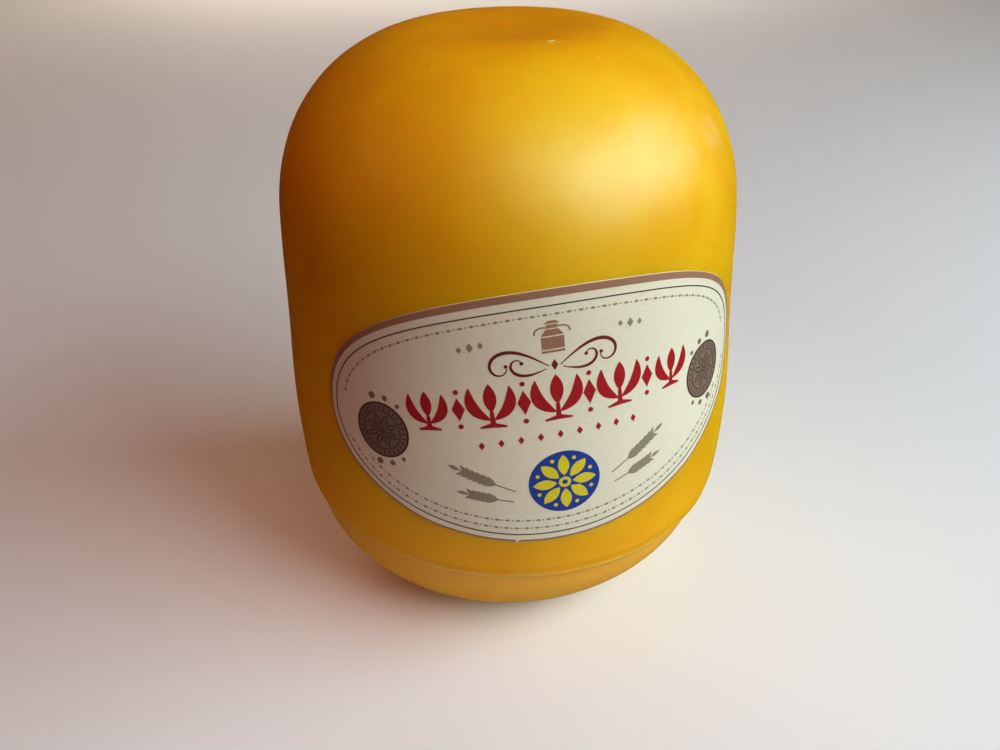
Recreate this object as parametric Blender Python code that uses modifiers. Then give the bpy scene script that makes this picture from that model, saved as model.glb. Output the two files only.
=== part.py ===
"""A small barrel of cheese in yellow wax, with an oval paper label round its front.

Lengths are in millimetres until a mesh is made, and in metres from then on. +Z is up, the label
faces -Y, and the origin is the middle of the flat base.
"""

import math

import bmesh
import bpy

COLLECTION_NAME = "waxed_cheese_barrel"
METRES_PER_MM = 0.001

# Barrel, with a shallow swell low on its wall and a waist above that
BELLY_RADIUS = 41.0
BELLY_HEIGHT = 43.7
CROWN_HEIGHT = 104.3
END_TAPER = 0.0782
WAVE_DEPTH = 0.4
WAVE_HEIGHT = 48.5
WAVE_REACH = 27.0
TURN_STEPS = 80

# Rounded shoulder, a superellipse that runs from the wall up to the crown
SHOULDER_HEIGHT = 28.7
SHOULDER_DEPTH = 28.2
SHOULDER_EXPONENT = 2.25
SHOULDER_STEPS = 20

# Top face, pressed slightly hollow inside a soft lip
FACE_HEIGHT = 104.0
FACE_RADIUS = 17.0
FACE_HOLLOW = 0.8
FACE_BLEND = 1.2
FACE_RINGS = 3

# Seam low on the wall, where the wall rolls in to meet the foot
SEAM_HEIGHT = 19.7
SEAM_ROLL_HEIGHT = 8.2
SEAM_ROLL_DEPTH = 1.65
SEAM_ROLL_EXPONENT = 2.75
SEAM_ROLL_END = math.radians(80)
SEAM_ROLL_STEPS = 7
WALL_STEPS = 9

# Foot, which curves from the seam under to the flat base and sits a little off the wall's middle
BASE_RADIUS = 18.9
FOOT_SLIP = 0.45
FOOT_START_LEAN = math.radians(5)
FOOT_START_PULL = 0.34
FOOT_END_PULL = 0.20
FOOT_STEPS = 12

# Label: an oval of paper laid round the wall, a little fuller above its middle line than below,
# with that line tipped a little
LABEL_HALF_WIDTH = 40.9
LABEL_HALF_HEIGHT = 22.55
LABEL_FULLNESS = 0.06
LABEL_CENTRE_HEIGHT = 52.0
LABEL_TIP = math.radians(4.4)
LABEL_GAP = 0.3
LABEL_THICKNESS = 0.2
LABEL_COLUMNS = 30
LABEL_ROWS = 16

# Looks: colour, roughness and metallic value
WAX_LOOK = ((0.72, 0.40, 0.03, 1.0), 0.38, 0.0)
PAPER_LOOK = ((0.80, 0.77, 0.62, 1.0), 0.45, 0.0)


def clear_scene():
    for obj in list(bpy.data.objects):
        bpy.data.objects.remove(obj)


def make_collection(name):
    collection = bpy.data.collections.new(name)
    bpy.context.scene.collection.children.link(collection)
    return collection


def make_material(name, look):
    colour, roughness, metallic = look
    material = bpy.data.materials.new(name)
    material.use_nodes = True
    shader = material.node_tree.nodes["Principled BSDF"]
    shader.inputs["Base Color"].default_value = colour
    shader.inputs["Roughness"].default_value = roughness
    shader.inputs["Metallic"].default_value = metallic
    return material


def add_object(name, bm, collection, material):
    """Scale a mesh that was drawn in millimetres to metres and put it in the collection."""
    bmesh.ops.scale(bm, vec=(METRES_PER_MM,) * 3, verts=bm.verts)
    mesh = bpy.data.meshes.new(name)
    bm.to_mesh(mesh)
    bm.free()
    mesh.materials.append(material)
    obj = bpy.data.objects.new(name, mesh)
    collection.objects.link(obj)
    return obj


def soft_lower(a, b, blend):
    """The lower of two heights, rounded over where they cross."""
    mix = max(blend - abs(a - b), 0.0) / blend
    return min(a, b) - mix * mix * blend / 4


def wall_wave(height):
    """How far the swell and the waist stand out of or into the plain barrel."""
    along = max(-1.0, min(1.0, (height - WAVE_HEIGHT) / WAVE_REACH))
    return -WAVE_DEPTH * math.sin(math.pi * along) * (1 - along**2)


def barrel_radius(height):
    """Radius of the bulged wall, before its ends are rounded."""
    offset = (height - BELLY_HEIGHT) / (CROWN_HEIGHT / 2)
    return BELLY_RADIUS * (1 - END_TAPER * offset**2) + wall_wave(height)


def face_height(radius):
    """Height of the hollow top face, carried on level outside its lip."""
    inside = max(1 - (radius / FACE_RADIUS) ** 2, 0.0)
    return FACE_HEIGHT - FACE_HOLLOW * inside**1.5


def rounded(turn, exponent):
    """The two legs of a superellipse arc at this turn, each from 0 to 1."""
    power = 2 / exponent
    along = math.sin(turn) ** power
    inward = 1 - max(math.cos(turn), 0.0) ** power
    return along, inward


def face_points():
    """The top face from its middle out to where the shoulder's own points begin."""
    crown_radius = barrel_radius(CROWN_HEIGHT) - SHOULDER_DEPTH
    radii = [crown_radius * ring / FACE_RINGS for ring in range(FACE_RINGS)]
    return [(radius, face_height(radius)) for radius in radii]


def shoulder_points():
    points = []
    for step in range(SHOULDER_STEPS + 1):
        turn = math.pi / 2 * (1 - step / SHOULDER_STEPS)
        along, inward = rounded(turn, SHOULDER_EXPONENT)
        height = CROWN_HEIGHT - SHOULDER_HEIGHT * (1 - along)
        radius = barrel_radius(height) - SHOULDER_DEPTH * inward
        points.append((radius, soft_lower(height, face_height(radius), FACE_BLEND)))
    return points


def wall_points():
    top = CROWN_HEIGHT - SHOULDER_HEIGHT
    bottom = SEAM_HEIGHT + SEAM_ROLL_HEIGHT
    heights = [top + (bottom - top) * step / WALL_STEPS for step in range(1, WALL_STEPS + 1)]
    return [(barrel_radius(height), height) for height in heights]


def seam_points():
    """The wall's lower end, which rolls in towards the seam."""
    points = []
    for step in range(1, SEAM_ROLL_STEPS + 1):
        turn = SEAM_ROLL_END * step / SEAM_ROLL_STEPS
        along, inward = rounded(turn, SEAM_ROLL_EXPONENT)
        height = SEAM_HEIGHT + SEAM_ROLL_HEIGHT * (1 - along)
        points.append((barrel_radius(height) - SEAM_ROLL_DEPTH * inward, height))
    return points


def foot_points():
    """A cubic curve from the seam, nearly upright at first, that ends level at the base."""
    seam_radius = barrel_radius(SEAM_HEIGHT) - SEAM_ROLL_DEPTH
    chord = math.hypot(seam_radius - BASE_RADIUS, SEAM_HEIGHT)
    start_pull = FOOT_START_PULL * chord
    corners = (
        (seam_radius, SEAM_HEIGHT),
        (
            seam_radius - start_pull * math.sin(FOOT_START_LEAN),
            SEAM_HEIGHT - start_pull * math.cos(FOOT_START_LEAN),
        ),
        (BASE_RADIUS + FOOT_END_PULL * chord, 0.0),
        (BASE_RADIUS, 0.0),
    )
    points = []
    for step in range(FOOT_STEPS + 1):
        t = step / FOOT_STEPS
        weights = ((1 - t) ** 3, 3 * (1 - t) ** 2 * t, 3 * (1 - t) * t**2, t**3)
        radius, height = (
            sum(weight * corner[axis] for weight, corner in zip(weights, corners)) for axis in (0, 1)
        )
        points.append((radius, height))
    return points


def make_cheese(collection, material):
    """The waxed barrel, turned from one profile that runs down its outer side."""
    body = face_points() + shoulder_points() + wall_points() + seam_points()
    foot = foot_points() + [(0.0, 0.0)]
    profile = body + foot
    bm = bmesh.new()
    verts = [bm.verts.new((radius, 0.0, height)) for radius, height in profile]
    for upper, lower in zip(verts, verts[1:]):
        bm.edges.new((upper, lower))
    cheese = add_object("waxed_cheese", bm, collection, material)
    screw = cheese.modifiers.new("Turn", "SCREW")
    screw.steps = TURN_STEPS
    screw.render_steps = TURN_STEPS
    screw.use_merge_vertices = True
    screw.merge_threshold = 0.00005
    screw.use_smooth_shade = True
    foot_group = cheese.vertex_groups.new(name="Foot")
    foot_group.add(list(range(len(body), len(profile))), 1.0, "REPLACE")
    slip = cheese.modifiers.new("Foot slip", "DISPLACE")
    slip.vertex_group = foot_group.name
    slip.direction = "X"
    slip.mid_level = 0.0
    slip.strength = -FOOT_SLIP * METRES_PER_MM
    return cheese


def disc_from_square(x, y):
    """Move a point of the square from -1 to 1 to its place in the unit disc."""
    return x * math.sqrt(1 - y * y / 2), y * math.sqrt(1 - x * x / 2)


def label_place(across, up):
    """The place on the wall of a point of the flat label, measured from the label's middle."""
    arc = across * math.cos(LABEL_TIP) - up * math.sin(LABEL_TIP)
    height = LABEL_CENTRE_HEIGHT + across * math.sin(LABEL_TIP) + up * math.cos(LABEL_TIP)
    turn = arc / BELLY_RADIUS
    radius = barrel_radius(height) + LABEL_GAP
    return radius * math.sin(turn), -radius * math.cos(turn), height


def make_label(collection, material):
    """A flat grid shaped to the oval, laid round the wall and given the paper's thickness."""
    bm = bmesh.new()
    bmesh.ops.create_grid(bm, x_segments=LABEL_COLUMNS, y_segments=LABEL_ROWS, size=1.0)
    for vert in bm.verts:
        across, up = disc_from_square(vert.co.x, vert.co.y)
        half_width = LABEL_HALF_WIDTH * (1 + LABEL_FULLNESS * up)
        vert.co = label_place(across * half_width, up * LABEL_HALF_HEIGHT)
    for face in bm.faces:
        face.smooth = True
    label = add_object("paper_label", bm, collection, material)
    paper = label.modifiers.new("Paper", "SOLIDIFY")
    paper.thickness = LABEL_THICKNESS * METRES_PER_MM
    paper.offset = 1.0
    return label


def main():
    clear_scene()
    collection = make_collection(COLLECTION_NAME)
    make_cheese(collection, make_material("yellow_wax", WAX_LOOK))
    make_label(collection, make_material("label_paper", PAPER_LOOK))


main()
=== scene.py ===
"""Looks of a small barrel of cheese in yellow wax, with an oval paper label round its front.

Shapes are drawn in millimetres and scaled to metres when their mesh is made. +Z is up, the label
faces -Y, and the origin is the middle of the flat base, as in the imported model.
"""

import math

import bmesh
import bpy
from mathutils import Matrix, Vector, noise


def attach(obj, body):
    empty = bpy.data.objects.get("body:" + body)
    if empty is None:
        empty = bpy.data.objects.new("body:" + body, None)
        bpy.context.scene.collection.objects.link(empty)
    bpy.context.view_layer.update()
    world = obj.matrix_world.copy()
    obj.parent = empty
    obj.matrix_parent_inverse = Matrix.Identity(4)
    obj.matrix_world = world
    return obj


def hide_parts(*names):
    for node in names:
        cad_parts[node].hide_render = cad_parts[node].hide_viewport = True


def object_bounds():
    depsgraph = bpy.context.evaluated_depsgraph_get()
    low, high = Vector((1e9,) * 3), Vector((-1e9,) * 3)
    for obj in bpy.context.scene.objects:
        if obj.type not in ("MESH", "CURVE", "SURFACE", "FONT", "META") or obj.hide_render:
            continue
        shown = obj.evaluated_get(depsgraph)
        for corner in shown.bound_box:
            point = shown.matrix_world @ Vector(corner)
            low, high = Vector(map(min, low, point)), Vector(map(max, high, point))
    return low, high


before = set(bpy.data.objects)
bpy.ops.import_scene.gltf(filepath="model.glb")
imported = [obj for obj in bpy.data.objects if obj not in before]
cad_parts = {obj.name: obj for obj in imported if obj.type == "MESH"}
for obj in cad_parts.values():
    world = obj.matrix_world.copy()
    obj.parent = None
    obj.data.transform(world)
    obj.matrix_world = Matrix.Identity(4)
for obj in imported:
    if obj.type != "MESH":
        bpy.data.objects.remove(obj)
solid_low, solid_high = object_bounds()

METRES_PER_MM = 0.001
MERGE_DISTANCE = 0.001
BODY = "root"

# Barrel, with a shallow swell low on its wall and a waist above that
BELLY_RADIUS = 41.0
BELLY_HEIGHT = 43.7
CROWN_HEIGHT = 104.3
END_TAPER = 0.0782
WAVE_DEPTH = 0.4
WAVE_HEIGHT = 48.5
WAVE_REACH = 27.0
TURN_STEPS = 320

# Rounded shoulder, a superellipse that runs from the wall up to the crown
SHOULDER_HEIGHT = 28.7
SHOULDER_DEPTH = 28.2
SHOULDER_EXPONENT = 2.25
SHOULDER_STEPS = 80

# Top face, pressed slightly hollow inside a soft lip
FACE_HEIGHT = 104.0
FACE_RADIUS = 17.0
FACE_HOLLOW = 0.8
FACE_BLEND = 1.2
FACE_RINGS = 14

# Seam low on the wall, where the wall rolls in to meet the foot
SEAM_HEIGHT = 19.7
SEAM_ROLL_HEIGHT = 8.2
SEAM_ROLL_DEPTH = 1.65
SEAM_ROLL_EXPONENT = 2.75
SEAM_ROLL_END = math.radians(80)
SEAM_ROLL_STEPS = 40
SEAM_SOFTENING_REACH = 3.0
SEAM_SOFTENING_ROUNDS = 160
SEAM_WANDER = 0.22
SEAM_WANDER_REACH = 5.0
SEAM_WANDER_WAVES = 2.2
SEAM_CLIMB = 1.4
SEAM_CLIMB_START = -8.0
SEAM_CLIMB_END = -34.0
LIP_HEIGHT = 20.5
LIP_REACH = 0.5
LIP_RISE = 0.16
WALL_STEPS = 56

# Foot, which curves from the seam under to the flat base and sits a little off the wall's middle
BASE_RADIUS = 18.9
BASE_RINGS = 5
FOOT_SLIP = 0.45
FOOT_SLIP_FULL = 0.6
FOOT_SLIP_NONE = 0.4
FOOT_START_LEAN = math.radians(5)
FOOT_START_PULL = 0.34
FOOT_END_PULL = 0.20
FOOT_STEPS = 60
FOOT_STEP_POWER = 1.5

# Unevenness of the dipped wax: wavelength and depth of each layer of it
WAX_WAVES = ((26.0, 0.16), (9.0, 0.05), (3.2, 0.012))
WAX_FADE_HEIGHT = 8.0

# Label: an oval of paper laid round the wall, a little fuller above its middle line than below,
# with that line tipped a little
LABEL_HALF_WIDTH = 40.9
LABEL_HALF_HEIGHT = 22.55
LABEL_FULLNESS = 0.06
LABEL_CENTRE_HEIGHT = 52.0
LABEL_TIP = math.radians(4.4)
LABEL_LIFT = 0.16
LABEL_THICKNESS = 0.18
LABEL_SPOKES = 220
LABEL_RINGS = 26
EDGE_ANGLE = math.radians(40)

# Where the label's edge stands off the wax, and the crease in its lower edge
CURL_HEIGHT = 0.30
CURL_START = 0.93
CURL_WAVES = 2.6
CURL_DRAW = Vector((0.0, 0.0, 3.7))
CREASE_ACROSS = -8.6
CREASE_WIDTH = 0.6
CREASE_LENGTH = 2.6
CREASE_HEIGHT = 0.15

# Print: each ink is a thin layer whose lower face lies inside the paper
INK_LIFT = 0.035
INK_STEP = 0.016
INK_THICKNESS = 0.05
INK_CUT_ACROSS = 1.5
INK_CUT_UP = 5.0
INK_CUT_OFFSET = 0.0137
INK_CUT_TOLERANCE = 0.0005
INK_MERGE_DISTANCE = 0.004
BEAD_PITCH = 1.75


def soft_lower(a, b, blend):
    """The lower of two heights, rounded over where they cross."""
    mix = max(blend - abs(a - b), 0.0) / blend
    return min(a, b) - mix * mix * blend / 4


def smooth_step(low, high, value):
    """0 below low, 1 above high, and a smooth ramp between them."""
    along = max(0.0, min(1.0, (value - low) / (high - low)))
    return along * along * (3 - 2 * along)


def wall_wave(height):
    """How far the swell and the waist stand out of or into the plain barrel."""
    along = max(-1.0, min(1.0, (height - WAVE_HEIGHT) / WAVE_REACH))
    return -WAVE_DEPTH * math.sin(math.pi * along) * (1 - along**2)


def barrel_radius(height):
    """Radius of the bulged wall, before its ends are rounded."""
    offset = (height - BELLY_HEIGHT) / (CROWN_HEIGHT / 2)
    return BELLY_RADIUS * (1 - END_TAPER * offset**2) + wall_wave(height)


def face_height(radius):
    """Height of the hollow top face, carried on level outside its lip."""
    inside = max(1 - (radius / FACE_RADIUS) ** 2, 0.0)
    return FACE_HEIGHT - FACE_HOLLOW * inside**1.5


def rounded(turn, exponent):
    """The two legs of a superellipse arc at this turn, each from 0 to 1."""
    power = 2 / exponent
    along = math.sin(turn) ** power
    inward = 1 - max(math.cos(turn), 0.0) ** power
    return along, inward


def face_points():
    """The top face from its middle out to where the shoulder's own points begin."""
    crown_radius = barrel_radius(CROWN_HEIGHT) - SHOULDER_DEPTH
    radii = [crown_radius * ring / FACE_RINGS for ring in range(FACE_RINGS)]
    return [(radius, face_height(radius)) for radius in radii]


def shoulder_points():
    points = []
    for step in range(SHOULDER_STEPS + 1):
        turn = math.pi / 2 * (1 - step / SHOULDER_STEPS)
        along, inward = rounded(turn, SHOULDER_EXPONENT)
        height = CROWN_HEIGHT - SHOULDER_HEIGHT * (1 - along)
        radius = barrel_radius(height) - SHOULDER_DEPTH * inward
        points.append((radius, soft_lower(height, face_height(radius), FACE_BLEND)))
    return points


def wall_points():
    top = CROWN_HEIGHT - SHOULDER_HEIGHT
    bottom = SEAM_HEIGHT + SEAM_ROLL_HEIGHT
    heights = [top + (bottom - top) * step / WALL_STEPS for step in range(1, WALL_STEPS + 1)]
    return [(barrel_radius(height), height) for height in heights]


def seam_points():
    """The wall's lower end, which rolls in towards the seam."""
    points = []
    for step in range(1, SEAM_ROLL_STEPS + 1):
        turn = SEAM_ROLL_END * step / SEAM_ROLL_STEPS
        along, inward = rounded(turn, SEAM_ROLL_EXPONENT)
        height = SEAM_HEIGHT + SEAM_ROLL_HEIGHT * (1 - along)
        points.append((barrel_radius(height) - SEAM_ROLL_DEPTH * inward, height))
    return points


def foot_points():
    """A cubic curve from the seam, nearly upright at first, that ends level at the base."""
    seam_radius = barrel_radius(SEAM_HEIGHT) - SEAM_ROLL_DEPTH
    chord = math.hypot(seam_radius - BASE_RADIUS, SEAM_HEIGHT)
    start_pull = FOOT_START_PULL * chord
    corners = (
        (seam_radius, SEAM_HEIGHT),
        (
            seam_radius - start_pull * math.sin(FOOT_START_LEAN),
            SEAM_HEIGHT - start_pull * math.cos(FOOT_START_LEAN),
        ),
        (BASE_RADIUS + FOOT_END_PULL * chord, 0.0),
        (BASE_RADIUS, 0.0),
    )
    points = []
    for step in range(FOOT_STEPS + 1):
        t = (step / FOOT_STEPS) ** FOOT_STEP_POWER
        weights = ((1 - t) ** 3, 3 * (1 - t) ** 2 * t, 3 * (1 - t) * t**2, t**3)
        radius, height = (
            sum(weight * corner[axis] for weight, corner in zip(weights, corners)) for axis in (0, 1)
        )
        points.append((radius, height))
    return points


def base_points():
    """The flat base from just inside its rim to its middle."""
    return [(BASE_RADIUS * (1 - ring / BASE_RINGS), 0.0) for ring in range(1, BASE_RINGS + 1)]


def softened_seam(profile):
    """Round the crease of the seam by moving its points towards their neighbours, and add its lip."""
    points = list(profile)
    for _ in range(SEAM_SOFTENING_ROUNDS):
        before = list(points)
        for index in range(1, len(points) - 1):
            if abs(before[index][1] - SEAM_HEIGHT) < SEAM_SOFTENING_REACH:
                points[index] = tuple(
                    (before[index - 1][axis] + 2 * before[index][axis] + before[index + 1][axis]) / 4
                    for axis in (0, 1)
                )
    return [(radius + seam_lip(height), height) for radius, height in points]


def seam_lip(height):
    """How far the thin lip of wax along the seam stands out."""
    from_lip = (height - LIP_HEIGHT) / LIP_REACH
    return LIP_RISE * math.exp(-(from_lip**2))


def unevenness(place):
    """How far the wax stands off its plain form at this place, in millimetres."""
    swell = sum(noise.noise(place / wave) * depth for wave, depth in WAX_WAVES)
    return swell * smooth_step(0.0, WAX_FADE_HEIGHT, place.z)


def seam_wander(place):
    """How far up the seam strays at this place; it climbs a little towards the -X side."""
    near = 1 - smooth_step(0.0, SEAM_WANDER_REACH, abs(place.z - SEAM_HEIGHT))
    around = Vector((place.x, place.y, 0.0)).normalized() * SEAM_WANDER_WAVES
    climb = SEAM_CLIMB * smooth_step(-SEAM_CLIMB_START, -SEAM_CLIMB_END, -place.x)
    return near * (SEAM_WANDER * noise.noise(around) + climb)


def add_piece(name, bm, material):
    """Scale a mesh that was drawn in millimetres to metres and make it a piece of the cheese."""
    bmesh.ops.scale(bm, vec=(METRES_PER_MM,) * 3, verts=bm.verts)
    mesh = bpy.data.meshes.new(name)
    bm.to_mesh(mesh)
    bm.free()
    mesh.shade_smooth()
    mesh.materials.append(material)
    piece = bpy.data.objects.new(name, mesh)
    bpy.context.scene.collection.objects.link(piece)
    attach(piece, BODY)
    return piece


def thicken(piece, thickness):
    """Give a sheet its thickness on its inner side, with crisp edges."""
    solidify = piece.modifiers.new("Thickness", "SOLIDIFY")
    solidify.thickness = thickness * METRES_PER_MM
    solidify.offset = -1.0
    graph = bpy.context.evaluated_depsgraph_get()
    thick = bpy.data.meshes.new_from_object(piece.evaluated_get(graph))
    piece.modifiers.clear()
    piece.data = thick
    thick.set_sharp_from_angle(angle=EDGE_ANGLE)


def make_wax_coat(material):
    """The waxed barrel with the unevenness of its dipped coat, its foot slipped a little to -X."""
    profile = face_points() + shoulder_points() + wall_points() + seam_points() + foot_points()
    profile = softened_seam(profile) + base_points()
    bm = bmesh.new()
    verts = [bm.verts.new((radius, 0.0, height)) for radius, height in profile]
    edges = [bm.edges.new(pair) for pair in zip(verts, verts[1:])]
    bmesh.ops.spin(
        bm,
        geom=verts + edges,
        cent=(0.0, 0.0, 0.0),
        axis=(0.0, 0.0, 1.0),
        angle=2 * math.pi,
        steps=TURN_STEPS,
        use_merge=True,
    )
    bmesh.ops.remove_doubles(bm, verts=bm.verts, dist=MERGE_DISTANCE)
    bmesh.ops.recalc_face_normals(bm, faces=bm.faces)
    bm.normal_update()
    for vert in bm.verts:
        place = vert.co.copy()
        foot = 1 - smooth_step(SEAM_HEIGHT - FOOT_SLIP_FULL, SEAM_HEIGHT + FOOT_SLIP_NONE, place.z)
        vert.co = place + vert.normal * unevenness(place)
        vert.co.x -= FOOT_SLIP * foot
        vert.co.z += seam_wander(place)
    coat = add_piece("wax_coat", bm, material)
    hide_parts("waxed_cheese")


def oval_point(turn, inset=0.0, outward=1.0):
    """A point of the label's outline, moved in by inset and then scaled towards its middle."""
    half_width = (LABEL_HALF_WIDTH - inset) * (1 + LABEL_FULLNESS * math.sin(turn))
    half_height = LABEL_HALF_HEIGHT - inset
    return half_width * math.cos(turn) * outward, half_height * math.sin(turn) * outward


def oval_reach(across, up):
    """How far out a point lies on the label, from 0 in its middle to 1 on its outline."""
    rise = up / LABEL_HALF_HEIGHT
    return math.hypot(across / (LABEL_HALF_WIDTH * (1 + LABEL_FULLNESS * rise)), rise)


def paper_rise(across, up):
    """How far the paper stands off the wax here: its edge curls a little and is creased once."""
    outward = oval_reach(across, up)
    round_edge = Vector((across / LABEL_HALF_WIDTH, up / LABEL_HALF_HEIGHT, 0.0)) * CURL_WAVES
    curl = CURL_HEIGHT * max(noise.noise(round_edge + CURL_DRAW), 0.0)
    curl *= smooth_step(CURL_START, 1.0, outward)
    from_edge = (1 - outward) * LABEL_HALF_HEIGHT
    crease = CREASE_HEIGHT * math.exp(-(((across - CREASE_ACROSS) / CREASE_WIDTH) ** 2))
    crease *= math.exp(-max(from_edge, 0.0) / CREASE_LENGTH) if up < 0 else 0.0
    return curl + crease


def label_point(across, up, lift):
    """The place on the wax of a point of the flat label, raised off the wax by lift."""
    arc = across * math.cos(LABEL_TIP) - up * math.sin(LABEL_TIP)
    height = LABEL_CENTRE_HEIGHT + across * math.sin(LABEL_TIP) + up * math.cos(LABEL_TIP)
    turn = arc / BELLY_RADIUS
    plain = barrel_radius(height)
    swell = unevenness(Vector((plain * math.sin(turn), -plain * math.cos(turn), height)))
    radius = plain + swell + lift + paper_rise(across, up)
    return radius * math.sin(turn), -radius * math.cos(turn), height


def make_label_sheet(material):
    """The paper, rings of points that fill the oval, laid round the wall."""
    bm = bmesh.new()
    middle = bm.verts.new((0.0, 0.0, 0.0))
    rings = []
    for ring in range(1, LABEL_RINGS + 1):
        outward = math.sin(math.pi / 2 * ring / LABEL_RINGS)
        turns = [2 * math.pi * spoke / LABEL_SPOKES for spoke in range(LABEL_SPOKES)]
        rings.append([bm.verts.new((*oval_point(turn, outward=outward), 0.0)) for turn in turns])
    for spoke in range(LABEL_SPOKES):
        beyond = (spoke + 1) % LABEL_SPOKES
        bm.faces.new((middle, rings[0][spoke], rings[0][beyond]))
        for inner, outer in zip(rings, rings[1:]):
            bm.faces.new((inner[spoke], outer[spoke], outer[beyond], inner[beyond]))
    for vert in bm.verts:
        vert.co = label_point(vert.co.x, vert.co.y, LABEL_LIFT)
    sheet = add_piece("label_sheet", bm, material)
    thicken(sheet, LABEL_THICKNESS)
    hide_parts("paper_label")


def disc(x, y, radius, sides=28):
    turns = [2 * math.pi * side / sides for side in range(sides)]
    return [[(x + radius * math.cos(turn), y + radius * math.sin(turn)) for turn in turns]]


def ring(x, y, outer, inner, sides=56):
    """A flat ring, as four-sided shapes that lie end to end."""
    shapes = []
    for side in range(sides):
        turns = [2 * math.pi * (side + end) / sides for end in (0, 1)]
        corners = [(outer, turns[0]), (outer, turns[1]), (inner, turns[1]), (inner, turns[0])]
        shapes.append([(x + r * math.cos(turn), y + r * math.sin(turn)) for r, turn in corners])
    return shapes


def lozenge(x, y, width, height):
    half_width, half_height = width / 2, height / 2
    return [[(x - half_width, y), (x, y - half_height), (x + half_width, y), (x, y + half_height)]]


def ribbon(path, widths):
    """A stroke along a path, as wide at each point as widths says."""
    sides = []
    for index, (x, y) in enumerate(path):
        before = path[max(index - 1, 0)]
        after = path[min(index + 1, len(path) - 1)]
        run = math.hypot(after[0] - before[0], after[1] - before[1])
        across = (-(after[1] - before[1]) / run, (after[0] - before[0]) / run)
        half = widths[index] / 2
        sides.append(
            ((x + across[0] * half, y + across[1] * half), (x - across[0] * half, y - across[1] * half))
        )
    return [[one[0], one[1], two[1], two[0]] for one, two in zip(sides, sides[1:])]


def leaf(start, end, width, bend=0.0, steps=9):
    """A stroke from start to end that is widest in its middle, bent to its left by bend."""
    run = (end[0] - start[0], end[1] - start[1])
    length = math.hypot(*run)
    aside = (-run[1] / length * bend, run[0] / length * bend)
    path, widths = [], []
    for step in range(steps + 1):
        t = step / steps
        bow = math.sin(math.pi * t)
        path.append((start[0] + run[0] * t + aside[0] * bow, start[1] + run[1] * t + aside[1] * bow))
        widths.append(max(width * bow**0.8, 0.06))
    return ribbon(path, widths)


def curl_path(start, heading, length, first_bend, last_bend, steps=40):
    """A path whose bend grows along its length, so that it ends in a spiral."""
    x, y = start
    path = [start]
    for step in range(steps):
        t = (step + 0.5) / steps
        bend = first_bend + (last_bend - first_bend) * t * t
        heading += bend * length / steps
        x += math.cos(heading) * length / steps
        y += math.sin(heading) * length / steps
        path.append((x, y))
    return path


def scroll(start, heading, length, first_bend, last_bend, width):
    """A curling stroke that swells towards its middle and ends in a small drop."""
    path = curl_path(start, heading, length, first_bend, last_bend)
    last = len(path) - 1
    widths = [0.14 + width * math.sin(math.pi * index / last) ** 1.5 for index in range(last + 1)]
    return ribbon(path, widths) + disc(*path[-1], 0.3, 14)


def moved(shapes, x=0.0, y=0.0, turn=0.0, scale=1.0, mirror=False):
    """Shapes that are scaled, mirrored left to right, turned and then shifted."""
    cos_turn, sin_turn = math.cos(turn), math.sin(turn)
    side = -scale if mirror else scale
    result = []
    for shape in shapes:
        sized = [(px * side, py * scale) for px, py in shape]
        result.append(
            [(x + px * cos_turn - py * sin_turn, y + px * sin_turn + py * cos_turn) for px, py in sized]
        )
    return result


def both_sides(shapes):
    """The shapes and their mirror image across the label's middle."""
    return shapes + moved(shapes, mirror=True)


def oval_band(outer_inset, inner_inset, steps=240):
    """A band that follows the label's outline between two insets, each a function of the turn."""
    shapes = []
    for step in range(steps):
        turns = [2 * math.pi * (step + end) / steps for end in (0, 1)]
        outer = [oval_point(turn, outer_inset(turn)) for turn in turns]
        inner = [oval_point(turn, inner_inset(turn)) for turn in turns]
        shapes.append([outer[0], outer[1], inner[1], inner[0]])
    return shapes


def topward(turn):
    """1 at the top of the label's outline and 0 from its ends down."""
    return max(math.sin(turn), 0.0) ** 0.8


def border_shapes():
    return oval_band(lambda turn: 0.05, lambda turn: 0.42 + 0.83 * topward(turn))


def pinstripe_inset(turn):
    return 1.45 + 1.05 * topward(turn)


def pinstripe_shapes():
    return oval_band(pinstripe_inset, lambda turn: pinstripe_inset(turn) + 0.2)


def bead_line(first_turn, last_turn, inset):
    """A fine chain of grains and dots that follows the label's outline."""
    shapes = []
    turn = first_turn
    while turn < last_turn:
        x, y = oval_point(turn, inset)
        across_rate = -(LABEL_HALF_WIDTH - inset) * math.sin(turn)
        up_rate = (LABEL_HALF_HEIGHT - inset) * math.cos(turn)
        grain = moved(lozenge(0.0, 0.0, 0.95, 0.46), BEAD_PITCH / 2)
        pair = disc(0.0, 0.0, 0.14, 8) + grain
        shapes += moved(pair, x, y, math.atan2(up_rate, across_rate))
        turn += BEAD_PITCH / math.hypot(across_rate, up_rate)
    return shapes


def bead_shapes():
    shapes = bead_line(math.radians(12), math.radians(167), 4.0)
    shapes += bead_line(math.radians(193), math.radians(348), 2.9)
    shapes += bead_line(math.radians(203), math.radians(337), 4.5)
    return shapes


def tulip(height):
    """A folk tulip that stands on the origin."""
    shapes = leaf((0.0, 0.34 * height), (0.0, height), 0.27 * height)
    for side in (-1, 1):
        tip = (side * 0.42 * height, 0.93 * height)
        shapes += leaf((side * 0.03 * height, 0.16 * height), tip, 0.25 * height, -side * 0.17 * height)
    shapes += ribbon([(0.0, 0.0), (0.0, 0.2 * height), (0.0, 0.36 * height)], [1.0, 0.7, 0.6])
    base = [(-0.28 * height, 0.0), (0.0, 0.05 * height), (0.28 * height, 0.0)]
    return shapes + ribbon(base, [0.3, 0.9, 0.3])


TULIP_COUNT = 5
TULIP_PITCH = 10.2
FRIEZE_REACH = 26.0
FRIEZE_LEAN = 2.2


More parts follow.
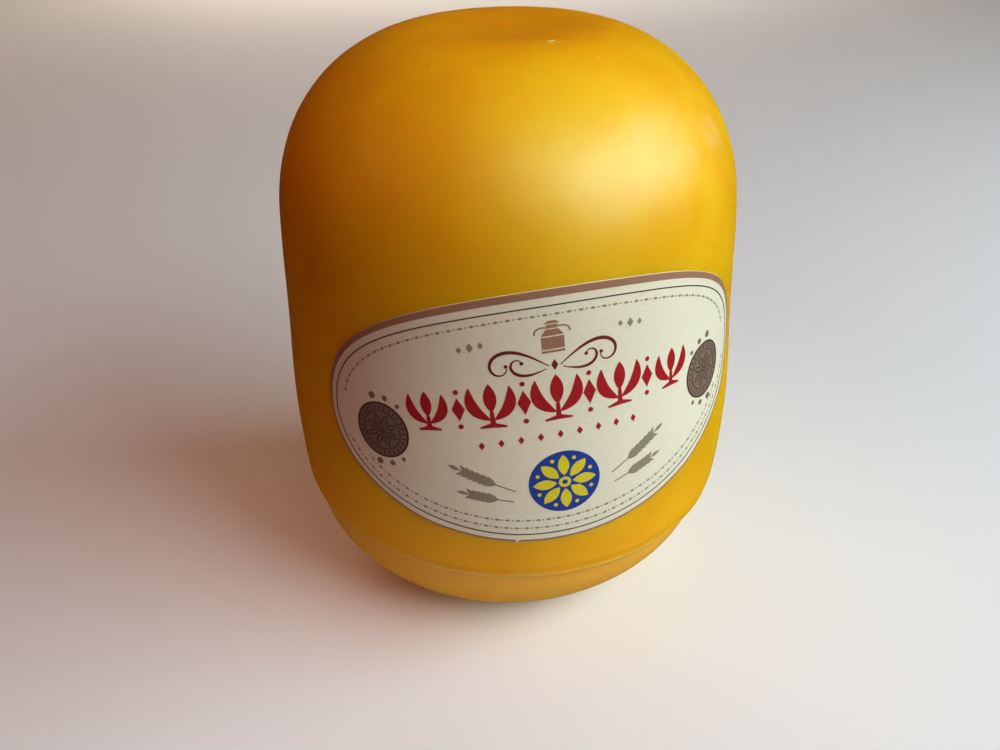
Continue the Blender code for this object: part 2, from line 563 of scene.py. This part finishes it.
def frieze_shapes():
    """An arched row of tulips with lozenges between them."""
    shapes = []
    for index in range(2 * TULIP_COUNT - 1):
        x = (index - TULIP_COUNT + 1) * TULIP_PITCH / 2
        arch = 1 - (x / FRIEZE_REACH) ** 2
        slope = math.atan2(-FRIEZE_LEAN * x, FRIEZE_REACH**2)
        height = 5.9 + 1.9 * arch
        foot = -0.6 + 1.3 * arch
        if index % 2 == 0:
            shapes += moved(tulip(height), x, foot, slope)
        else:
            shapes += moved(lozenge(0.0, 0.48 * height, 2.1, 0.56 * height), x, foot, slope)
            for rise in (0.06, 0.9):
                shapes += moved(disc(0.0, rise * height, 0.42, 14), x, foot, slope)
    return shapes


def diamond_row_shapes():
    shapes = []
    for index in range(9):
        x = (index - 4) * 3.1
        y = -2.9 + 0.9 * (1 - (x / 13.0) ** 2)
        shapes += lozenge(x, y, 0.95, 1.4)
    return shapes


def flourish_shapes():
    """Mirrored scrolls either side of a small lozenge."""
    half = scroll((0.9, 10.1), math.radians(38), 15.5, -0.02, -1.05, 0.42)
    half += scroll((1.3, 9.7), math.radians(-22), 9.0, 0.05, 1.5, 0.34)
    return both_sides(half) + lozenge(0.0, 10.2, 1.1, 1.9)


def churn_shapes():
    """A milk churn: its bands, shoulder, neck, lid and two handles."""
    shapes = [
        [(-2.1, 0.0), (2.1, 0.0), (2.15, 0.45), (-2.15, 0.45)],
        [(-2.1, 0.7), (2.1, 0.7), (2.1, 3.1), (-2.1, 3.1)],
        [(-2.1, 3.35), (2.1, 3.35), (1.15, 4.6), (-1.15, 4.6)],
        [(-1.0, 4.8), (1.0, 4.8), (1.15, 5.5), (-1.15, 5.5)],
        [(-1.5, 5.7), (1.5, 5.7), (0.7, 6.25), (-0.7, 6.25)],
    ]
    handle = curl_path((1.15, 5.0), math.radians(15), 2.9, -0.35, -1.4, 14)
    return shapes + both_sides(ribbon(handle, [0.3] * len(handle)))


def wheat_ear(length, grains):
    """A stalk along +X with pairs of grains towards its tip."""
    stalk = [(length * step / 8, 0.0) for step in range(9)]
    shapes = ribbon(stalk, [0.22] * 9)
    for index in range(grains):
        x = length * (0.36 + 0.58 * index / grains)
        for side in (-1, 1):
            shapes += leaf((x, side * 0.12), (x + 1.75, side * 0.95), 0.62, -side * 0.12)
    return shapes + leaf((length, 0.0), (length + 1.9, 0.0), 0.66)


def grey_shapes():
    """Wheat ears beside the round flower, and small marks beside the churn."""
    half = moved(wheat_ear(9.6, 6), 7.9, -11.6, math.radians(27))
    half += moved(wheat_ear(7.4, 5), 8.3, -13.6, math.radians(14))
    for index, size in ((-1, 0.8), (0, 1.15), (1, 0.8)):
        half += lozenge(12.6 + index * 1.7, 14.2 - index * 0.35, size, 1.35 * size)
    return both_sides(half)


ROSETTE_ACROSS = 29.4
ROSETTE_UP = -1.6
ROSETTE_RADIUS = 5.0


def rosette_field_shapes():
    shapes = disc(ROSETTE_ACROSS, ROSETTE_UP, ROSETTE_RADIUS, 40)
    for rise in (-1, 1):
        for index in range(3):
            turn = math.radians(rise * (78 + 24 * index))
            reach = ROSETTE_RADIUS + 1.15 - 0.12 * index
            x = ROSETTE_ACROSS + reach * math.cos(turn)
            y = ROSETTE_UP + reach * math.sin(turn)
            shapes += disc(x, y, 0.62 - 0.12 * index, 14)
    return both_sides(shapes)


def rosette_line_shapes():
    """Rings, rays and a flower, drawn over the rosette's field."""
    x, y = ROSETTE_ACROSS, ROSETTE_UP
    shapes = ring(x, y, ROSETTE_RADIUS + 0.02, ROSETTE_RADIUS - 0.3)
    shapes += ring(x, y, 3.55, 3.38)
    rays = 28
    for index in range(rays):
        turn = 2 * math.pi * index / rays
        ray = [(x + reach * math.cos(turn), y + reach * math.sin(turn)) for reach in (3.75, 4.45)]
        shapes += ribbon(ray, [0.14, 0.3])
    petals = 8
    for index in range(petals):
        turn = 2 * math.pi * (index + 0.5) / petals
        start = (x + 0.75 * math.cos(turn), y + 0.75 * math.sin(turn))
        end = (x + 3.1 * math.cos(turn), y + 3.1 * math.sin(turn))
        for bend in (-0.42, 0.42):
            shapes += leaf(start, end, 0.26, bend)
    return both_sides(shapes + ring(x, y, 0.6, 0.32, 20))


FLOWER_UP = -11.0
FLOWER_RADIUS = 5.8


def flower_field_shapes():
    return disc(0.0, FLOWER_UP, FLOWER_RADIUS, 48)


def flower_petal_shapes():
    """Eight broad petals, a dot between each two and a middle ring."""
    shapes = []
    petals = 8
    for index in range(petals):
        turn = 2 * math.pi * index / petals
        start = (1.3 * math.cos(turn), FLOWER_UP + 1.3 * math.sin(turn))
        end = (5.1 * math.cos(turn), FLOWER_UP + 5.1 * math.sin(turn))
        shapes += leaf(start, end, 1.85)
        between = turn + math.pi / petals
        shapes += disc(4.6 * math.cos(between), FLOWER_UP + 4.6 * math.sin(between), 0.34, 12)
    return shapes + ring(0.0, FLOWER_UP, 1.0, 0.45, 24)


def add_print(name, shapes, material, layer=0):
    """Cut flat shapes fine enough to bend with the wall, wrap them on the paper and thicken them."""
    bm = bmesh.new()
    for shape in shapes:
        bm.faces.new([bm.verts.new((x, y, 0.0)) for x, y in shape])
    for face in bm.faces:
        face.normal_update()
        if face.normal.z < 0:
            face.normal_flip()
    bmesh.ops.remove_doubles(bm, verts=bm.verts, dist=INK_MERGE_DISTANCE)
    for axis, step, reach in (
        (0, INK_CUT_ACROSS, LABEL_HALF_WIDTH),
        (1, INK_CUT_UP, LABEL_HALF_HEIGHT),
    ):
        normal = Vector((axis == 0, axis == 1, 0.0))
        cuts = int(reach / step)
        for cut in range(-cuts, cuts + 1):
            # Off the round numbers, where a cut could fall along an edge
            place = normal * (cut * step + INK_CUT_OFFSET)
            bmesh.ops.bisect_plane(
                bm,
                geom=bm.verts[:] + bm.edges[:] + bm.faces[:],
                dist=INK_CUT_TOLERANCE,
                plane_co=place,
                plane_no=normal,
            )
    for vert in bm.verts:
        vert.co = label_point(vert.co.x, vert.co.y, LABEL_LIFT + INK_LIFT + layer * INK_STEP)
    thicken(add_piece(name, bm, material), INK_THICKNESS)


class Nodes:
    """A material's nodes, with short ways to add one and to join it up."""

    def __init__(self, name):
        self.material = bpy.data.materials.new(name)
        self.material.use_nodes = True
        self.tree = self.material.node_tree
        self.shader = self.tree.nodes["Principled BSDF"]
        coords = self.tree.nodes.new("ShaderNodeTexCoord")
        to_mm = self.tree.nodes.new("ShaderNodeMapping")
        to_mm.inputs["Scale"].default_value = (1 / METRES_PER_MM,) * 3
        self.join(coords.outputs["Object"], to_mm.inputs["Vector"])
        self.place = to_mm.outputs["Vector"]

    def join(self, source, target):
        self.tree.links.new(source, target)

    def noise(self, wavelength, detail=2.0, roughness=0.5, stretch=(1.0, 1.0, 1.0)):
        """A noise field from 0 to 1 with this wavelength in millimetres."""
        scaled = self.tree.nodes.new("ShaderNodeMapping")
        scaled.inputs["Scale"].default_value = tuple(1 / (wavelength * s) for s in stretch)
        self.join(self.place, scaled.inputs["Vector"])
        field = self.tree.nodes.new("ShaderNodeTexNoise")
        field.inputs["Scale"].default_value = 1.0
        field.inputs["Detail"].default_value = detail
        field.inputs["Roughness"].default_value = roughness
        self.join(scaled.outputs["Vector"], field.inputs["Vector"])
        return field.outputs["Fac"]

    def ramp(self, source, low, high, to_low=0.0, to_high=1.0):
        """Map a field from low..high to to_low..to_high along a smooth step."""
        node = self.tree.nodes.new("ShaderNodeMapRange")
        node.interpolation_type = "SMOOTHSTEP"
        node.inputs["From Min"].default_value = low
        node.inputs["From Max"].default_value = high
        node.inputs["To Min"].default_value = to_low
        node.inputs["To Max"].default_value = to_high
        self.join(source, node.inputs["Value"])
        return node.outputs["Result"]

    def math(self, operation, one, other):
        """A number worked out of two others, each a value or a node's output."""
        node = self.tree.nodes.new("ShaderNodeMath")
        node.operation = operation
        for socket, value in zip(node.inputs, (one, other)):
            if isinstance(value, float):
                socket.default_value = value
            else:
                self.join(value, socket)
        return node.outputs["Value"]

    def times(self, one, other):
        return self.math("MULTIPLY", one, other)

    def vector(self, operation, one, other, output="Vector"):
        """A vector node's result for a node's output and a fixed vector."""
        node = self.tree.nodes.new("ShaderNodeVectorMath")
        node.operation = operation
        self.join(one, node.inputs[0])
        node.inputs[1].default_value = other
        return node.outputs[output]

    def mix(self, factor, under, over):
        """Lay one colour over another; each is a colour or a node's output."""
        node = self.tree.nodes.new("ShaderNodeMix")
        node.data_type = "RGBA"
        self.join(factor, node.inputs["Factor"])
        for socket, value in ((node.inputs[6], under), (node.inputs[7], over)):
            if isinstance(value, tuple):
                socket.default_value = (*value, 1.0)
            else:
                self.join(value, socket)
        return node.outputs[2]

    def spot(self, centre, reach, solid=0.0):
        """1 as far as solid from a place, falling to 0 at this reach from it."""
        away = self.vector("DISTANCE", self.place, centre, "Value")
        return self.ramp(away, solid, reach, 1.0, 0.0)

    def arc(self, centre, radius, middle, reach, width):
        """A thin stroke along a circle round centre, near its own middle."""
        away = self.vector("DISTANCE", self.place, centre, "Value")
        inner = self.ramp(away, radius - width, radius, 0.0, 1.0)
        outer = self.ramp(away, radius, radius + width, 1.0, 0.0)
        return self.times(self.times(inner, outer), self.spot(middle, reach, reach / 2))

    def line(self, start, end, width):
        """A thin stroke between two places."""
        along = (end - start).normalized()
        aside = self.vector("CROSS_PRODUCT", self.vector("SUBTRACT", self.place, start), along)
        from_line = self.vector("DISTANCE", aside, (0.0, 0.0, 0.0), "Value")
        half = (end - start).length / 2
        stroke = self.ramp(from_line, width / 3, width, 1.0, 0.0)
        return self.times(stroke, self.spot((start + end) / 2, half, half * 0.6))

    def axis(self, name):
        """How far along this axis a place lies, in millimetres."""
        split = self.tree.nodes.new("ShaderNodeSeparateXYZ")
        self.join(self.place, split.inputs["Vector"])
        return split.outputs[name]

    def bump(self, relief):
        """Raise and sink the surface's shading by a field in millimetres."""
        node = self.tree.nodes.new("ShaderNodeBump")
        node.inputs["Strength"].default_value = 1.0
        node.inputs["Distance"].default_value = METRES_PER_MM
        self.join(relief, node.inputs["Height"])
        self.join(node.outputs["Normal"], self.shader.inputs["Normal"])


def round_place(azimuth, radius, height):
    """A place by its turn from the label's side towards +X, in degrees."""
    turn = math.radians(azimuth)
    return Vector((radius * math.sin(turn), -radius * math.cos(turn), height))


GOLD = (0.85, 0.50, 0.0035)
AMBER = (0.79, 0.42, 0.003)
# Lighter, redder wax low on the wall: painted light from the floor
BOUNCE_PAINTED_WAX = (0.96, 0.43, 0.004)
# Darker, more orange wax: painted shade on the top face
PAINTED_SHADE_TOP_WAX = (0.79, 0.35, 0.003)
# Yellower wax: painted light on the lit front of the shoulder
PAINTED_LIT_WAX = (0.83, 0.63, 0.02)
BLOOM = (0.86, 0.70, 0.38)
# Pale wax, for real pale flecks and for the painted reflection of the floor on the foot
PALE_FLECK_AND_REFLECTION_WAX = (0.90, 0.70, 0.30)
# Colour of the painted highlight along the seam's lip
PAINTED_SEAM_HIGHLIGHT = (1.0, 0.70, 0.24)
BARE_WAX = (0.97, 0.82, 0.50)
DIRT = (0.16, 0.06, 0.01)

# Hazy patches, darker smudges, pale flecks and a dark speck: a place, a reach and a strength each
HAZES = (
    (round_place(53.0, 36.1, 89.4), 4.8, 0.30),
    (round_place(-72.2, 40.8, 55.1), 3.0, 0.16),
    (round_place(39.3, 36.0, 89.2), 2.2, 0.18),
)
SMUDGES = (
    (round_place(-0.9, 18.4, 102.9), 1.1, 0.20),
    (round_place(11.7, 36.6, 88.0), 1.3, 0.16),
    (round_place(10.9, 33.1, 93.5), 1.1, 0.12),
    (round_place(-41.1, 22.7, 101.4), 0.8, 0.26),
    (round_place(-18.2, 36.2, 88.9), 0.7, 0.24),
)
FLECKS = (
    (round_place(28.2, 22.1, 101.6), 0.55, 0.26),
    (round_place(-73.9, 21.0, 102.1), 0.75, 0.40),
    (round_place(59.5, 19.0, 102.7), 0.40, 0.55),
    (round_place(-38.9, 39.6, 77.3), 0.30, 0.30),
    (round_place(-41.1, 39.8, 75.0), 0.35, 0.30),
)
SPECK = (round_place(64.2, 18.5, 102.9), 0.34, 0.95)

# A curved nick in the top face, and a scratch just below the seam
NICK_CENTRE = round_place(18.3, 16.55, 103.5)
NICK_RADIUS = 1.43
NICK_MIDDLE = round_place(16.3, 15.2, 103.5)
NICK_REACH = 1.25
NICK_WIDTH = 0.44
NICK_DEPTH = 0.10
SCRATCH_START = round_place(-31.1, 38.9, 18.2)
SCRATCH_END = round_place(-28.8, 38.6, 16.6)
SCRATCH_WIDTH = 0.32
SCRATCH_STRENGTH = 0.6
MARK_RIM = 0.06

# Broad painted patches: a yellower one on the front of the shoulder is painted light where the window
# lights it, and a darker, more orange one in the hollow of the top is painted shade: a colour, a
# place, a reach, how far it stays whole and a strength each
PAINTED_LIGHT_AND_SHADE_PATCHES = (
    # Painted light on the lit front of the shoulder
    (PAINTED_LIT_WAX, round_place(7.0, 34.5, 91.5), 24.0, 0.0, 0.7),
    # Painted shade on the top face
    (PAINTED_SHADE_TOP_WAX, Vector((0.0, 0.0, 103.5)), 24.5, 13.0, 0.85),
)

# Painted light low on the wax: lighter, redder wax low on the wall is painted light from the floor,
# the paler foot is a painted reflection of the floor, and a pale line on the seam is a painted
# highlight
BOUNCE_PAINTED_TOP = 40.0
BOUNCE_PAINTED_BOTTOM = 15.0
BOUNCE_PAINTED_STRENGTH = 0.9
FOOT_PAINTED_REFLECTION = 0.16
SEAM_LINE_WIDTH = 0.75
SEAM_HIGHLIGHT_STRENGTH = 0.40

# How far light goes through the wax, in millimetres and for red, green and blue, and its fine grain
WAX_DEPTH = 6.0
WAX_DEPTH_BY_COLOUR = (1.0, 0.35, 0.05)
WAX_CLEARNESS = 0.7
WAX_GRAIN = 0.012


def wax_material():
    """Satin wax: a little see-through, clouded in broad patches, dulled where it was handled."""
    look = Nodes("satin_yellow_wax")
    shader = look.shader
    clouds = look.ramp(look.noise(22.0, 3.0), 0.35, 0.68)
    colour = look.mix(clouds, AMBER, GOLD)
    # Painted light: lighter, redder wax low on the wall, for light thrown up from the floor
    low = look.ramp(look.axis("Z"), BOUNCE_PAINTED_BOTTOM, BOUNCE_PAINTED_TOP, BOUNCE_PAINTED_STRENGTH, 0.0)
    colour = look.mix(low, colour, BOUNCE_PAINTED_WAX)
    # Painted light and shade in broad patches
    for patch_colour, centre, reach, solid, strength in PAINTED_LIGHT_AND_SHADE_PATCHES:
        patch = look.times(look.spot(centre, reach, solid), strength)
        colour = look.mix(patch, colour, patch_colour)
    climb = look.ramp(look.axis("X"), SEAM_CLIMB_END, SEAM_CLIMB_START, SEAM_CLIMB, 0.0)
    from_line = look.math("SUBTRACT", look.math("SUBTRACT", look.axis("Z"), climb), LIP_HEIGHT)
    # Painted reflection: the foot below the seam is paler, for the floor seen in its gloss
    painted_reflection_below_seam = look.ramp(from_line, -SEAM_LINE_WIDTH, SEAM_LINE_WIDTH, FOOT_PAINTED_REFLECTION, 0.0)
    colour = look.mix(painted_reflection_below_seam, colour, PALE_FLECK_AND_REFLECTION_WAX)
    # Painted highlight: a pale line along the seam's lip
    off_line = look.math("ABSOLUTE", from_line, 0.0)
    seam_highlight = look.ramp(off_line, 0.0, SEAM_LINE_WIDTH, SEAM_HIGHLIGHT_STRENGTH, 0.0)
    colour = look.mix(seam_highlight, colour, PAINTED_SEAM_HIGHLIGHT)
    soft_mottle = look.ramp(look.noise(2.6, 2.0), 0.15, 0.6)
    for centre, reach, strength in HAZES:
        patch = look.times(look.spot(centre, reach), soft_mottle)
        colour = look.mix(look.times(patch, strength), colour, BLOOM)
    mottle = look.ramp(look.noise(1.6, 4.0), 0.35, 0.7)
    for centre, reach, strength in SMUDGES:
        patch = look.times(look.spot(centre, reach), mottle)
        colour = look.mix(look.times(patch, strength), colour, DIRT)
    for centre, reach, strength in FLECKS:
        colour = look.mix(look.times(look.spot(centre, reach, reach / 3), strength), colour, PALE_FLECK_AND_REFLECTION_WAX)
    centre, reach, strength = SPECK
    colour = look.mix(look.times(look.spot(centre, reach, reach / 3), strength), colour, DIRT)
    nick = look.arc(NICK_CENTRE, NICK_RADIUS, NICK_MIDDLE, NICK_REACH, NICK_WIDTH)
    scratch = look.line(SCRATCH_START, SCRATCH_END, SCRATCH_WIDTH)
    marks = look.math("MAXIMUM", nick, look.times(scratch, SCRATCH_STRENGTH))
    colour = look.mix(marks, colour, BARE_WAX)
    dust = look.ramp(look.noise(0.5, 1.0), 0.76, 0.80, 0.0, 0.22)
    colour = look.mix(dust, colour, BLOOM)
    look.join(colour, shader.inputs["Base Color"])
    look.join(look.ramp(look.noise(5.0, 4.0), 0.3, 0.7, 0.34, 0.42), shader.inputs["Roughness"])
    shader.inputs["Subsurface Weight"].default_value = WAX_CLEARNESS
    shader.inputs["Subsurface Radius"].default_value = WAX_DEPTH_BY_COLOUR
    shader.inputs["Subsurface Scale"].default_value = WAX_DEPTH * METRES_PER_MM
    hollow = look.times(look.spot(NICK_CENTRE, NICK_RADIUS), -NICK_DEPTH)
    marks_relief = look.math("ADD", hollow, look.times(marks, MARK_RIM))
    look.bump(look.math("ADD", look.times(look.noise(0.9, 3.0), WAX_GRAIN), marks_relief))
    return look.material


PAPER_GRAIN = 0.004
PAPER_CREAM = (0.79, 0.755, 0.605)
PAPER_FIBRE = (0.84, 0.81, 0.67)
PAPER_STAIN = (0.80, 0.755, 0.57)


def paper_material():
    """Varnished cream paper with faint fibres."""
    look = Nodes("varnished_cream_paper")
    fibres = look.ramp(look.noise(0.35, 3.0, 0.6, (2.5, 2.5, 1.0)), 0.3, 0.7)
    colour = look.mix(fibres, PAPER_CREAM, PAPER_FIBRE)
    stains = look.ramp(look.noise(9.0, 3.0), 0.5, 0.8, 0.0, 0.35)
    colour = look.mix(stains, colour, PAPER_STAIN)
    look.join(colour, look.shader.inputs["Base Color"])
    look.join(look.ramp(look.noise(2.0, 2.0), 0.3, 0.7, 0.38, 0.46), look.shader.inputs["Roughness"])
    look.bump(look.times(look.noise(0.3, 2.0), PAPER_GRAIN))
    return look.material


def ink_material(name, colour, lighter=1.12):
    """Printed ink, a little uneven where the paper's grain shows through it."""
    look = Nodes(name)
    grain = look.ramp(look.noise(0.28, 3.0, 0.6), 0.3, 0.72)
    pale = tuple(min(channel * lighter + 0.006, 1.0) for channel in colour)
    look.join(look.mix(grain, colour, pale), look.shader.inputs["Base Color"])
    look.join(look.ramp(look.noise(1.5, 2.0), 0.3, 0.7, 0.36, 0.44), look.shader.inputs["Roughness"])
    look.bump(look.times(look.noise(0.3, 2.0), PAPER_GRAIN))
    return look.material


def make_prints():
    mauve = ink_material("mauve_ink", (0.33, 0.17, 0.115))
    dark_brown = ink_material("dark_brown_ink", (0.055, 0.032, 0.022))
    grey = ink_material("grey_brown_ink", (0.27, 0.235, 0.165))
    red = ink_material("dark_red_ink", (0.36, 0.006, 0.012))
    wine = ink_material("wine_ink", (0.16, 0.012, 0.012))
    brown = ink_material("brown_ink", (0.205, 0.141, 0.114))
    blue = ink_material("blue_ink", (0.010, 0.045, 0.33))
    yellow = ink_material("lemon_ink", (0.72, 0.62, 0.02))
    add_print("print_border", border_shapes(), mauve)
    add_print("print_pinstripe", pinstripe_shapes(), dark_brown)
    add_print("print_beads", bead_shapes(), grey)
    add_print("print_frieze", frieze_shapes(), red)
    add_print("print_diamonds", diamond_row_shapes(), red)
    add_print("print_flourish", flourish_shapes(), wine)
    add_print("print_churn", moved(churn_shapes(), 0.0, 12.3, 0.0, 0.84), mauve)
    add_print("print_wheat", grey_shapes(), grey)
    add_print("print_rosettes", rosette_field_shapes(), brown)
    add_print("print_rosette_lines", rosette_line_shapes(), dark_brown, 1)
    add_print("print_flower_field", flower_field_shapes(), blue)
    add_print("print_flower_petals", flower_petal_shapes(), yellow, 1)


def add_area_light(name, azimuth, elevation, distance, size, power, colour):
    """A soft light that looks at the cheese's middle from this direction, with distance in metres."""
    target = (solid_low + solid_high) / 2
    turn, rise = math.radians(azimuth), math.radians(elevation)
    away = Vector((math.sin(turn) * math.cos(rise), -math.cos(turn) * math.cos(rise), math.sin(rise)))
    data = bpy.data.lights.new(name, "AREA")
    data.shape = "RECTANGLE"
    data.size, data.size_y = size
    data.energy = power
    data.color = colour
    light = bpy.data.objects.new(name, data)
    light.location = target + away * distance
    light.rotation_mode = "QUATERNION"
    light.rotation_quaternion = (-away).to_track_quat("-Z", "Y")
    bpy.context.scene.collection.objects.link(light)
    return light


FLOOR_NEAR_RADIUS = 0.096
FLOOR_RADIUS = 6.0
FLOOR_SIDES = 128
FLOOR_MERGE_DISTANCE = 0.00001
FLOOR_COLOUR = (0.71, 0.785, 0.90)

# Painted light: the floor is a little brighter round the foot, a painted pool of light, between these
# distances in millimetres
FLOOR_PAINTED_LIGHT_COLOUR = (0.81, 0.88, 0.98)
FLOOR_PAINTED_LIGHT_INNER = 38.0
FLOOR_PAINTED_LIGHT_OUTER = 140.0


def add_floor_ring(name, inner, outer, material):
    """A flat ring of floor; the innermost one has a point for its inner circle."""
    bm = bmesh.new()
    edges = [bm.edges.new((bm.verts.new((inner, 0.0, 0.0)), bm.verts.new((outer, 0.0, 0.0))))]
    bmesh.ops.spin(
        bm,
        geom=bm.verts[:] + edges,
        cent=(0.0, 0.0, 0.0),
        axis=(0.0, 0.0, 1.0),
        angle=2 * math.pi,
        steps=FLOOR_SIDES,
        use_merge=True,
    )
    bmesh.ops.remove_doubles(bm, verts=bm.verts, dist=FLOOR_MERGE_DISTANCE)
    for face in bm.faces:
        face.normal_update()
        if face.normal.z < 0:
            face.normal_flip()
    mesh = bpy.data.meshes.new(name)
    bm.to_mesh(mesh)
    bm.free()
    mesh.materials.append(material)
    floor = bpy.data.objects.new(name, mesh)
    bpy.context.scene.collection.objects.link(floor)
    return floor


# The near ring lights the cheese but stays out of its gloss, and the far ring does neither
def make_floor():
    """A pale floor with a painted pool of light round the foot, that throws light back at the cheese
    only from close by, as a plate would.
    """
    look = Nodes("pale_floor")
    # Painted pool of light round the foot
    painted_pool = look.spot((0.0, 0.0, 0.0), FLOOR_PAINTED_LIGHT_OUTER, FLOOR_PAINTED_LIGHT_INNER)
    look.join(look.mix(painted_pool, FLOOR_COLOUR, FLOOR_PAINTED_LIGHT_COLOUR), look.shader.inputs["Base Color"])
    look.shader.inputs["Roughness"].default_value = 0.5
    near = add_floor_ring("floor_near", 0.0, FLOOR_NEAR_RADIUS, look.material)
    near.visible_glossy = False
    far = add_floor_ring("floor_far", FLOOR_NEAR_RADIUS, FLOOR_RADIUS, look.material)
    far.visible_diffuse = False
    far.visible_glossy = False


ROOM_COLOUR = (1.0, 0.62, 0.36, 1.0)
ROOM_STRENGTH = 0.006


# The window gives the large highlight. The pane beside it gives the second one, as two lights: one
# for the wax's own colour and one for its gloss. The others fill the shade, warmer to the left.
def make_lights():
    world = bpy.data.worlds.new("dim_room")
    world.use_nodes = True
    world.node_tree.nodes["Background"].inputs["Color"].default_value = ROOM_COLOUR
    world.node_tree.nodes["Background"].inputs["Strength"].default_value = ROOM_STRENGTH
    bpy.context.scene.world = world
    add_area_light("window", 58, 30, 0.60, (0.68, 0.34), 4.75, (0.85, 1.0, 0.96))
    pane = add_area_light("side_pane", 22, 45, 0.60, (0.35, 0.35), 0.84, (1.0, 0.56, 0.45))
    pane.visible_glossy = False
    gleam = add_area_light("side_pane_gleam", 22, 44, 0.60, (0.38, 0.35), 0.84, (0.70, 1.0, 0.80))
    gleam.visible_diffuse = False
    add_area_light("ceiling", -30, 74, 1.20, (1.0, 1.0), 1.55, (1.0, 0.30, 0.06))
    add_area_light("room_left", -80, 35, 0.80, (0.6, 0.5), 0.86, (1.0, 0.18, 0.06))
    fill = add_area_light("room_behind", 205, 26, 1.00, (0.8, 0.6), 0.95, (1.0, 0.68, 0.44))
    fill.visible_glossy = False
    back = add_area_light("back_fill", 172, 10, 0.90, (0.6, 0.25), 2.8, (1.0, 0.80, 0.60))
    back.visible_glossy = False


# The camera stands where the photograph was taken from, looks down and leans a little
CAMERA_PLACE = Vector((-31.00, -167.27, 135.63))
CAMERA_PITCH = math.radians(30.0)
CAMERA_HEADING = math.radians(-9.8)
CAMERA_ROLL = math.radians(-1.31)
CAMERA_LENS = 36.0
CAMERA_SENSOR = 36.0
CAMERA_CLIP_START = 0.01


def make_camera():
    data = bpy.data.cameras.new("photograph")
    data.sensor_width = CAMERA_SENSOR
    data.lens = CAMERA_LENS
    data.clip_start = CAMERA_CLIP_START
    camera = bpy.data.objects.new("photograph", data)
    camera.location = CAMERA_PLACE * METRES_PER_MM
    heading = Matrix.Rotation(CAMERA_HEADING, 4, "Z")
    pitch = Matrix.Rotation(math.pi / 2 - CAMERA_PITCH, 4, "X")
    roll = Matrix.Rotation(CAMERA_ROLL, 4, "Z")
    camera.rotation_mode = "QUATERNION"
    camera.rotation_quaternion = (heading @ pitch @ roll).to_quaternion()
    bpy.context.scene.collection.objects.link(camera)
    bpy.context.scene.camera = camera


make_camera()
make_wax_coat(wax_material())
make_label_sheet(paper_material())
make_prints()
make_floor()
make_lights()
bpy.context.scene.view_settings.view_transform = "Standard"
